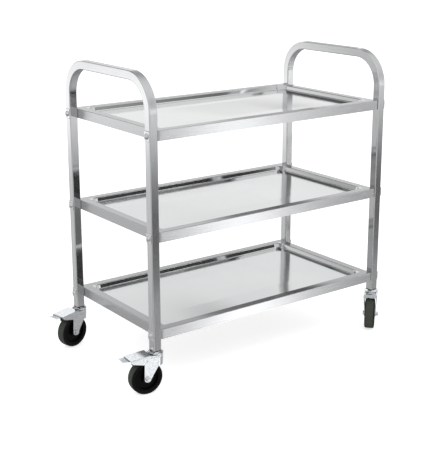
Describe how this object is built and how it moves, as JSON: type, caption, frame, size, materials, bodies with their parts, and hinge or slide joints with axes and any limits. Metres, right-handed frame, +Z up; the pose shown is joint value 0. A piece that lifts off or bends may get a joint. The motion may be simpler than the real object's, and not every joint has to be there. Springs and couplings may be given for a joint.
{
  "type": "three-tier utility cart",
  "caption": "Open three-tier utility cart with bent-tube end frames that form push handles, sunk-pan shelves and swivel casters, some with foot brakes.",
  "frame": {"origin": "on the floor, under the middle of the whole footprint; the middle of the four legs is 19.2 mm towards +X, because the brake pedals stand out at the left end", "axes": "+X along the cart towards the end without brakes, +Y towards the back long side, -Y towards the front long side, +Z up"},
  "size_m": [1.0007, 0.55, 0.878],
  "materials": {
    "stainless_tube": "polished welded square tube, fine grain along the tube",
    "stainless_sheet": "satin cold-rolled sheet",
    "bright_hardware": "polished stainless dome bolts, plates and nuts",
    "zinc_plate": "bright zinc plate on pressed steel",
    "grey_rubber": "moulded thermoplastic rubber tread",
    "core_plastic": "moulded black polypropylene",
    "black_nylon": "moulded black nylon plug",
    "brake_rubber": "moulded rubber block"
  },
  "bodies": {
    "cart": {"left_end_frame": "stainless_tube", "right_end_frame": "stainless_tube", "bottom_tray": "stainless_sheet", "middle_tray": "stainless_sheet", "top_tray": "stainless_sheet", "bottom_tray_channel": "stainless_sheet", "middle_tray_channel": "stainless_sheet", "top_tray_channel": "stainless_sheet", "tray_bolts": "bright_hardware", "tray_saddle_plates": "bright_hardware", "tray_nuts": "bright_hardware", "front_left_leg_insert": "black_nylon", "front_left_caster_stem": "zinc_plate", "front_left_bearing_cup": "zinc_plate", "back_left_leg_insert": "black_nylon", "back_left_caster_stem": "zinc_plate", "back_left_bearing_cup": "zinc_plate", "front_right_leg_insert": "black_nylon", "front_right_caster_stem": "zinc_plate", "front_right_bearing_cup": "zinc_plate", "back_right_leg_insert": "black_nylon", "back_right_caster_stem": "zinc_plate", "back_right_bearing_cup": "zinc_plate"},
    "front_left_brake": {"front_left_brake_pedal": "zinc_plate", "front_left_brake_shoe": "brake_rubber"},
    "front_left_swivel": {"front_left_fork": "zinc_plate", "front_left_ball_race": "zinc_plate", "front_left_axle_bolt": "zinc_plate", "front_left_axle_nut": "zinc_plate", "front_left_axle_sleeve": "zinc_plate", "front_left_brake_pivot": "zinc_plate"},
    "front_left_wheel": {"front_left_wheel_core": "core_plastic", "front_left_tyre": "grey_rubber"},
    "back_left_brake": {"back_left_brake_pedal": "zinc_plate", "back_left_brake_shoe": "brake_rubber"},
    "back_left_swivel": {"back_left_fork": "zinc_plate", "back_left_ball_race": "zinc_plate", "back_left_axle_bolt": "zinc_plate", "back_left_axle_nut": "zinc_plate", "back_left_axle_sleeve": "zinc_plate", "back_left_brake_pivot": "zinc_plate"},
    "back_left_wheel": {"back_left_wheel_core": "core_plastic", "back_left_tyre": "grey_rubber"},
    "front_right_swivel": {"front_right_fork": "zinc_plate", "front_right_ball_race": "zinc_plate", "front_right_axle_bolt": "zinc_plate", "front_right_axle_nut": "zinc_plate", "front_right_axle_sleeve": "zinc_plate"},
    "front_right_wheel": {"front_right_wheel_core": "core_plastic", "front_right_tyre": "grey_rubber"},
    "back_right_swivel": {"back_right_fork": "zinc_plate", "back_right_ball_race": "zinc_plate", "back_right_axle_bolt": "zinc_plate", "back_right_axle_nut": "zinc_plate", "back_right_axle_sleeve": "zinc_plate"},
    "back_right_wheel": {"back_right_wheel_core": "core_plastic", "back_right_tyre": "grey_rubber"}
  },
  "joints": [
    {"name": "front_left_swivel_turn", "type": "hinge", "parent": "cart", "child": "front_left_swivel", "pos_m": [-0.3933, -0.2125, 0.112], "axis": [0, 0, 1], "continuous": true},
    {"name": "front_left_wheel_spin", "type": "hinge", "parent": "front_left_swivel", "child": "front_left_wheel", "pos_m": [-0.42506, -0.2086, 0.0475], "axis": [-0.1219, -0.9925, 0], "continuous": true},
    {"name": "front_left_brake_press", "type": "hinge", "parent": "front_left_swivel", "child": "front_left_brake", "pos_m": [-0.42903, -0.20811, 0.102], "axis": [-0.1219, -0.9925, 0], "range_deg": [0, 10]},
    {"name": "back_left_swivel_turn", "type": "hinge", "parent": "cart", "child": "back_left_swivel", "pos_m": [-0.3933, 0.2125, 0.112], "axis": [0, 0, 1], "continuous": true},
    {"name": "back_left_wheel_spin", "type": "hinge", "parent": "back_left_swivel", "child": "back_left_wheel", "pos_m": [-0.4246, 0.20585, 0.0475], "axis": [0.2079, -0.9781, 0], "continuous": true},
    {"name": "back_left_brake_press", "type": "hinge", "parent": "back_left_swivel", "child": "back_left_brake", "pos_m": [-0.42851, 0.20502, 0.102], "axis": [0.2079, -0.9781, 0], "range_deg": [0, 10]},
    {"name": "front_right_swivel_turn", "type": "hinge", "parent": "cart", "child": "front_right_swivel", "pos_m": [0.4317, -0.2125, 0.112], "axis": [0, 0, 1], "continuous": true},
    {"name": "front_right_wheel_spin", "type": "hinge", "parent": "front_right_swivel", "child": "front_right_wheel", "pos_m": [0.40792, -0.23391, 0.0475], "axis": [0.6691, -0.7431, 0], "continuous": true},
    {"name": "back_right_swivel_turn", "type": "hinge", "parent": "cart", "child": "back_right_swivel", "pos_m": [0.4317, 0.2125, 0.112], "axis": [0, 0, 1], "continuous": true},
    {"name": "back_right_wheel_spin", "type": "hinge", "parent": "back_right_swivel", "child": "back_right_wheel", "pos_m": [0.45548, 0.23391, 0.0475], "axis": [-0.6691, 0.7431, 0], "continuous": true}
  ]
}
